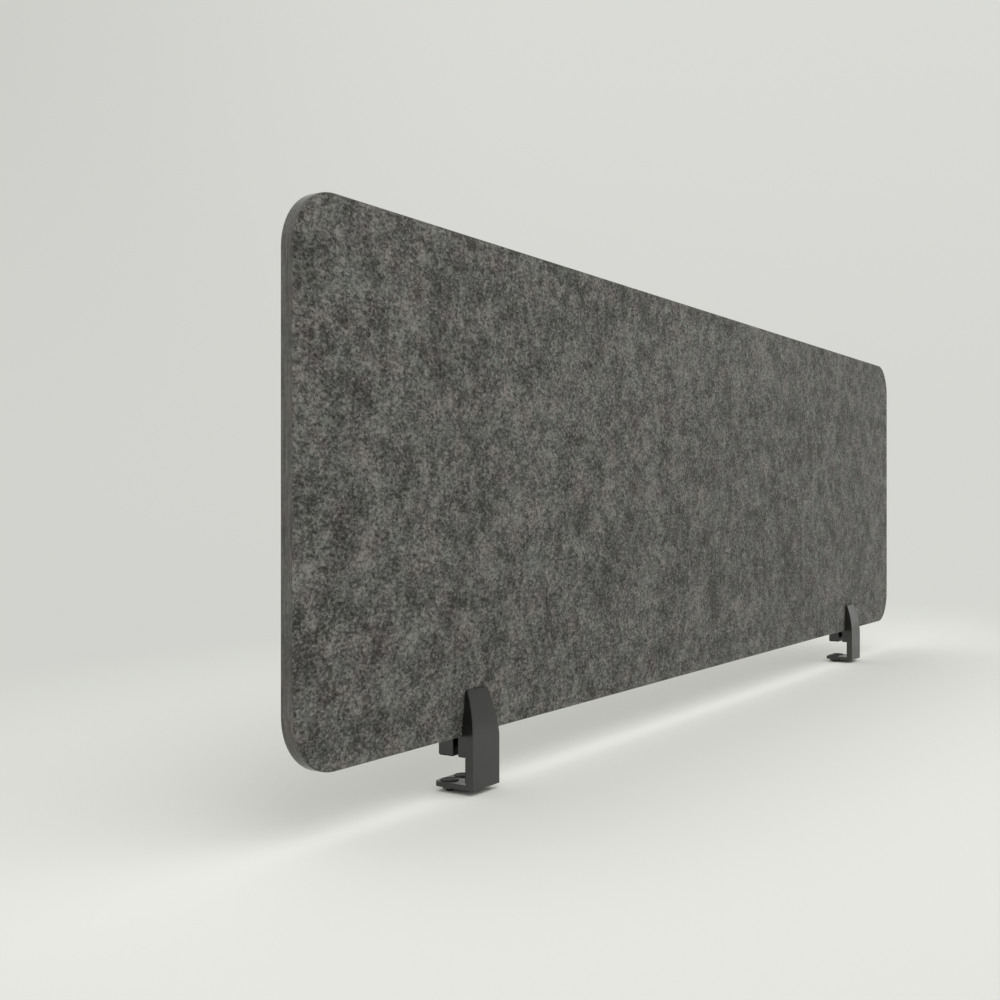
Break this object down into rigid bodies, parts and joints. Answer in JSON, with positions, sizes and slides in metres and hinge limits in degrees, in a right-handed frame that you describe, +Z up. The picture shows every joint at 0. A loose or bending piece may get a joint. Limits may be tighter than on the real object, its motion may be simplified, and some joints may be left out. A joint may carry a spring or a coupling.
{
  "type": "acoustic divider screen",
  "caption": "Long low acoustic board of dark felt with rounded corners, held on a desk's front edge by two-part clamps with tapering fins and a lower jaw.",
  "frame": {"origin": "on the desk top, at the board's mid-length and in its middle plane, between the two clamps", "axes": "+X along the board from its left end to its right end as seen by someone in front of the desk's edge, +Y to the back over the desk, +Z up"},
  "size_m": [1.65, 0.0465, 0.536],
  "materials": {
    "felt": "matte",
    "powder_coat": "matte",
    "rubber": "matte",
    "screw_steel": "satin",
    "pad_plastic": "matte"
  },
  "bodies": {
    "screen": {"acoustic_panel": "felt", "left_clamp_body": "powder_coat", "left_front_fin_liner": "rubber", "left_front_seat_pad": "rubber", "left_edge_liner": "rubber", "right_clamp_body": "powder_coat", "right_front_fin_liner": "rubber", "right_front_seat_pad": "rubber", "right_edge_liner": "rubber"},
    "left_jaw": {"left_rear_jaw": "powder_coat", "left_rear_fin_liner": "rubber", "left_rear_seat_pad": "rubber"},
    "left_jaw_screw_1": {"left_jaw_screw_1": "screw_steel"},
    "left_jaw_screw_2": {"left_jaw_screw_2": "screw_steel"},
    "left_pressure_pad_1": {"left_pressure_pad_1": "pad_plastic"},
    "left_desk_screw_1": {"left_desk_screw_1": "screw_steel"},
    "left_pressure_pad_2": {"left_pressure_pad_2": "pad_plastic"},
    "left_desk_screw_2": {"left_desk_screw_2": "screw_steel"},
    "right_jaw": {"right_rear_jaw": "powder_coat", "right_rear_fin_liner": "rubber", "right_rear_seat_pad": "rubber"},
    "right_jaw_screw_1": {"right_jaw_screw_1": "screw_steel"},
    "right_jaw_screw_2": {"right_jaw_screw_2": "screw_steel"},
    "right_pressure_pad_1": {"right_pressure_pad_1": "pad_plastic"},
    "right_desk_screw_1": {"right_desk_screw_1": "screw_steel"},
    "right_pressure_pad_2": {"right_pressure_pad_2": "pad_plastic"},
    "right_desk_screw_2": {"right_desk_screw_2": "screw_steel"}
  },
  "joints": [
    {"name": "left_jaw_slide", "type": "slide", "parent": "screen", "child": "left_jaw", "axis": [0, 1, 0], "range_m": [0, 0.006]},
    {"name": "left_jaw_screw_1_turn", "type": "hinge", "parent": "left_jaw", "child": "left_jaw_screw_1", "pos_m": [-0.582, 0, 0.0105], "axis": [0, 1, 0], "range_deg": [0, 2160]},
    {"name": "left_jaw_screw_2_turn", "type": "hinge", "parent": "left_jaw", "child": "left_jaw_screw_2", "pos_m": [-0.554, 0, 0.0105], "axis": [0, 1, 0], "range_deg": [0, 2160]},
    {"name": "left_pressure_pad_1_lift", "type": "slide", "parent": "screen", "child": "left_pressure_pad_1", "axis": [0, 0, 1], "range_m": [-0.0008, 0.005]},
    {"name": "left_desk_screw_1_turn", "type": "hinge", "parent": "left_pressure_pad_1", "child": "left_desk_screw_1", "pos_m": [-0.5795, 0.016, -0.025], "axis": [0, 0, 1], "range_deg": [-230.4, 1440]},
    {"name": "left_pressure_pad_2_lift", "type": "slide", "parent": "screen", "child": "left_pressure_pad_2", "axis": [0, 0, 1], "range_m": [-0.0008, 0.005]},
    {"name": "left_desk_screw_2_turn", "type": "hinge", "parent": "left_pressure_pad_2", "child": "left_desk_screw_2", "pos_m": [-0.5565, 0.016, -0.025], "axis": [0, 0, 1], "range_deg": [-230.4, 1440]},
    {"name": "right_jaw_slide", "type": "slide", "parent": "screen", "child": "right_jaw", "axis": [0, 1, 0], "range_m": [0, 0.006]},
    {"name": "right_jaw_screw_1_turn", "type": "hinge", "parent": "right_jaw", "child": "right_jaw_screw_1", "pos_m": [0.575, 0, 0.0105], "axis": [0, 1, 0], "range_deg": [0, 2160]},
    {"name": "right_jaw_screw_2_turn", "type": "hinge", "parent": "right_jaw", "child": "right_jaw_screw_2", "pos_m": [0.603, 0, 0.0105], "axis": [0, 1, 0], "range_deg": [0, 2160]},
    {"name": "right_pressure_pad_1_lift", "type": "slide", "parent": "screen", "child": "right_pressure_pad_1", "axis": [0, 0, 1], "range_m": [-0.0008, 0.005]},
    {"name": "right_desk_screw_1_turn", "type": "hinge", "parent": "right_pressure_pad_1", "child": "right_desk_screw_1", "pos_m": [0.5775, 0.016, -0.025], "axis": [0, 0, 1], "range_deg": [-230.4, 1440]},
    {"name": "right_pressure_pad_2_lift", "type": "slide", "parent": "screen", "child": "right_pressure_pad_2", "axis": [0, 0, 1], "range_m": [-0.0008, 0.005]},
    {"name": "right_desk_screw_2_turn", "type": "hinge", "parent": "right_pressure_pad_2", "child": "right_desk_screw_2", "pos_m": [0.6005, 0.016, -0.025], "axis": [0, 0, 1], "range_deg": [-230.4, 1440]}
  ],
  "couplings": [
    {"joint": "left_jaw_screw_1_turn", "follows": "left_jaw_slide", "rad_per_m": 6283.2},
    {"joint": "left_jaw_screw_2_turn", "follows": "left_jaw_slide", "rad_per_m": 6283.2},
    {"joint": "left_desk_screw_1_turn", "follows": "left_pressure_pad_1_lift", "rad_per_m": 5026.5},
    {"joint": "left_desk_screw_2_turn", "follows": "left_pressure_pad_2_lift", "rad_per_m": 5026.5},
    {"joint": "right_jaw_screw_1_turn", "follows": "right_jaw_slide", "rad_per_m": 6283.2},
    {"joint": "right_jaw_screw_2_turn", "follows": "right_jaw_slide", "rad_per_m": 6283.2},
    {"joint": "right_desk_screw_1_turn", "follows": "right_pressure_pad_1_lift", "rad_per_m": 5026.5},
    {"joint": "right_desk_screw_2_turn", "follows": "right_pressure_pad_2_lift", "rad_per_m": 5026.5}
  ]
}
